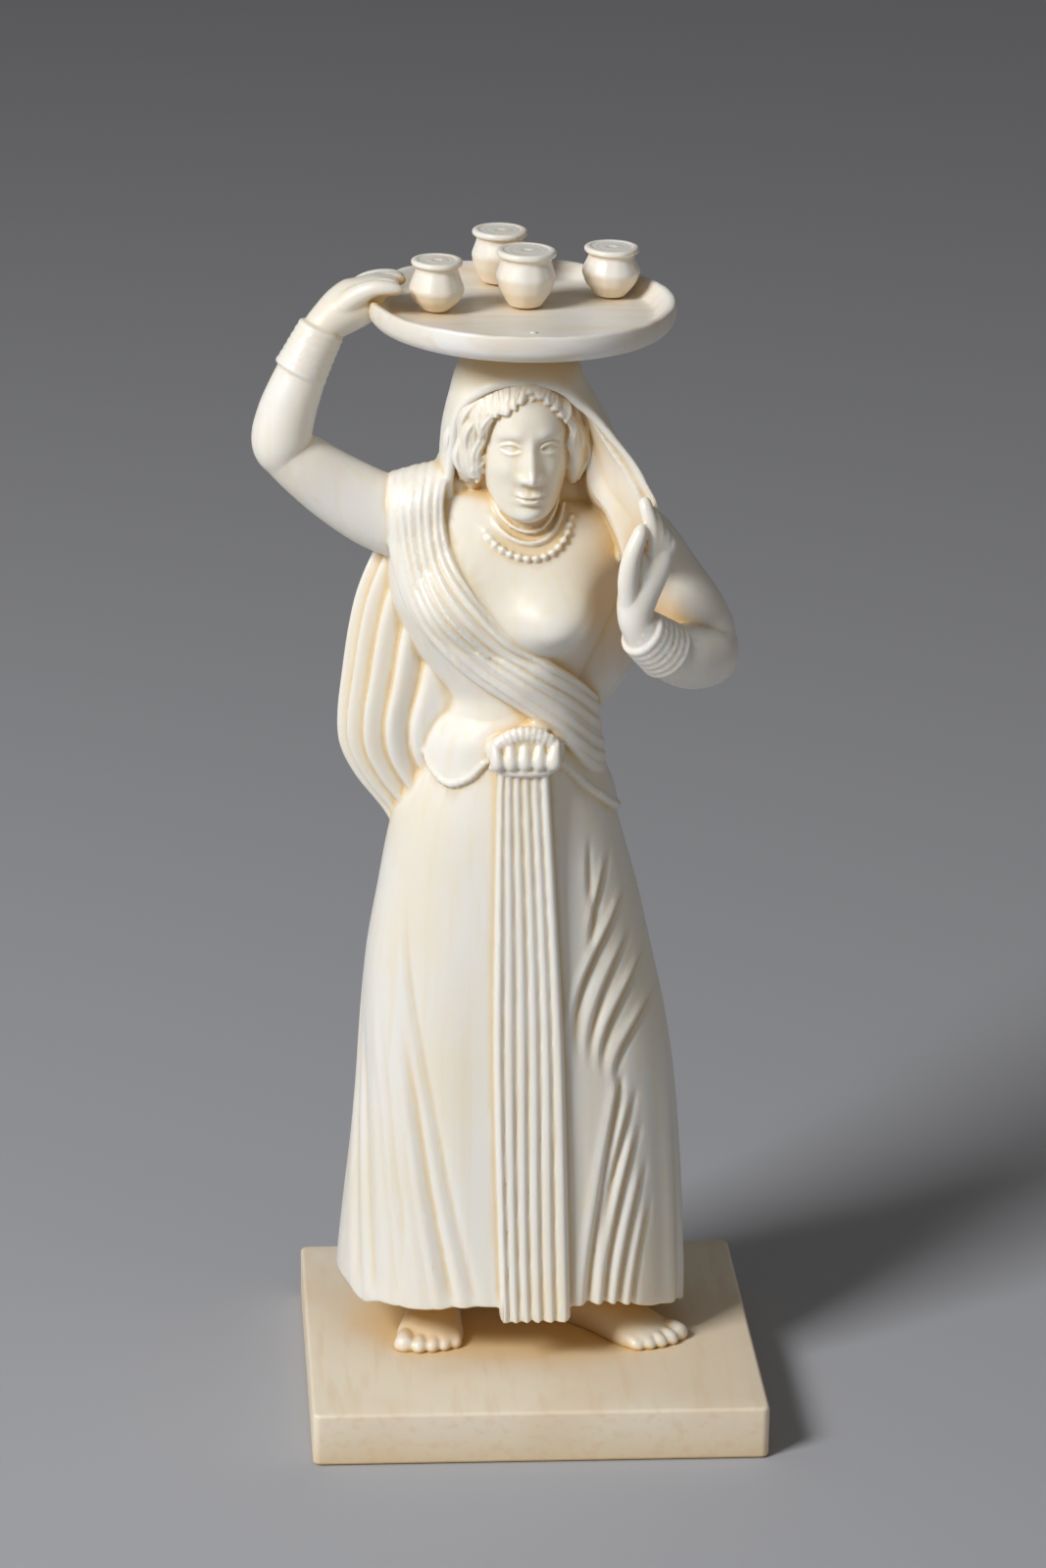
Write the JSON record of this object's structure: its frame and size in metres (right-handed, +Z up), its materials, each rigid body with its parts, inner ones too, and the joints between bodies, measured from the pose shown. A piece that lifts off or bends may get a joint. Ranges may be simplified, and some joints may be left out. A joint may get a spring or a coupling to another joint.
{
  "type": "female figure statue",
  "caption": "Standing female figure in a long pleated garment and veil, with a round tray of small covered jars on her head and a raised arm, on a rectangular plinth.",
  "frame": {"origin": "middle of the plinth's flat underside", "axes": "+Z up along the figure, +X to the viewer's right, -Y the side the figure faces"},
  "size_m": [0.0557, 0.047, 0.1298],
  "materials": {
    "ivory": "satin",
    "warm_ivory": "satin"
  },
  "bodies": {
    "root": {"plinth": "warm_ivory", "figure": "ivory", "tray": "ivory", "jar_front_left": "ivory", "jar_back": "ivory", "jar_front_centre": "ivory", "jar_right": "ivory"}
  },
  "joints": []
}
